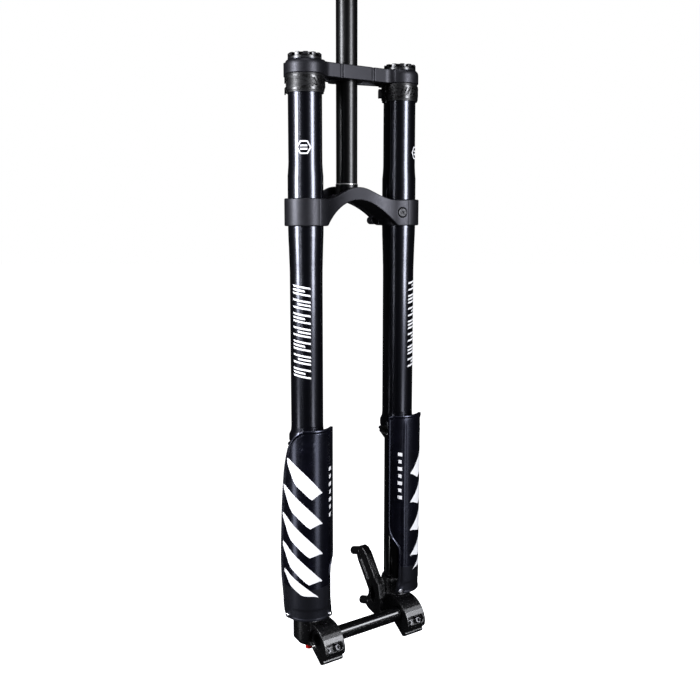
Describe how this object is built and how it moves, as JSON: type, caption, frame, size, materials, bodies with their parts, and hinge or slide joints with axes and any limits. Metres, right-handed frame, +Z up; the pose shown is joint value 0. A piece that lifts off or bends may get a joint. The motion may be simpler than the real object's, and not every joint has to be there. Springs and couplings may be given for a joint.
{
  "type": "suspension fork",
  "caption": "Dual-crown inverted suspension fork: long steerer, clamped upper tubes, guarded sliding lower legs, through axle in split clamps, and brake posts at the rear of the left leg.",
  "frame": {"origin": "on the steerer axis, at the flat on the lower crown that the crown race sits on", "axes": "+Z up along the steerer, -Y towards the front of the bicycle, +X towards the rider's left"},
  "size_m": [0.226, 0.1275, 0.9051],
  "materials": {
    "anodised_black": "satin black anodised",
    "crown_black": "satin dark grey anodised",
    "gloss_black": "gloss black",
    "bolt_black": "black oxide",
    "bolt_silver": "plain steel",
    "bumper_rubber": "matte",
    "strap": "matte",
    "bushing": "coated",
    "seal_rubber": "satin",
    "foam": "open foam",
    "spring_steel": "bright",
    "raw_aluminium": "machined",
    "stanchion": "black low-friction coating",
    "guard_plastic": "satin to matte",
    "red": "red anodised",
    "valve_metal": "nickel plated"
  },
  "bodies": {
    "chassis": {"steerer": "anodised_black", "upper_crown": "crown_black", "upper_crown_bolts": "bolt_black", "lower_crown": "crown_black", "lower_crown_bolts": "bolt_black", "right_outer_tube": "gloss_black", "left_outer_tube": "gloss_black", "right_top_cap": "anodised_black", "left_top_cap": "anodised_black", "right_frame_bumper": "bumper_rubber", "left_frame_bumper": "bumper_rubber", "bumper_straps": "strap", "upper_bushings": "bushing", "lower_bushings": "bushing", "oil_seals": "seal_rubber", "foam_rings": "foam", "dust_wipers": "seal_rubber", "wiper_springs": "spring_steel", "damper_cartridge": "raw_aluminium", "damper_seal_head": "raw_aluminium", "compression_valve": "raw_aluminium", "air_shaft": "raw_aluminium", "air_piston": "anodised_black", "air_valve": "valve_metal", "air_valve_cap": "anodised_black"},
    "compression": {"compression_knob": "anodised_black"},
    "lower": {"right_stanchion": "stanchion", "left_stanchion": "stanchion", "right_dropout": "anodised_black", "left_dropout": "anodised_black", "right_guard": "guard_plastic", "left_guard": "guard_plastic", "guard_screws": "bolt_silver", "axle_pinch_bolts": "bolt_black", "damper_rod": "raw_aluminium", "damper_piston": "raw_aluminium", "air_seal_head": "raw_aluminium", "top_out_bumper": "seal_rubber", "foot_nut": "anodised_black"},
    "rebound": {"rebound_knob": "red", "rebound_rod": "raw_aluminium"},
    "axle": {"through_axle": "anodised_black"}
  },
  "joints": [
    {"name": "fork_travel", "type": "slide", "parent": "chassis", "child": "lower", "axis": [0, 0, 1], "range_m": [0, 0.203], "stiffness_N_per_m": 6000, "springref_m": -0.01},
    {"name": "axle_pull", "type": "slide", "parent": "lower", "child": "axle", "axis": [-1, 0, 0], "range_m": [0, 0.26]},
    {"name": "rebound_turn", "type": "hinge", "parent": "lower", "child": "rebound", "pos_m": [-0.077, -0.0165, -0.62], "axis": [0, 0, 1], "range_deg": [-270, 270]},
    {"name": "compression_turn", "type": "hinge", "parent": "chassis", "child": "compression", "pos_m": [-0.077, -0.0165, 0.168], "axis": [0, 0, 1], "range_deg": [-270, 270]}
  ]
}
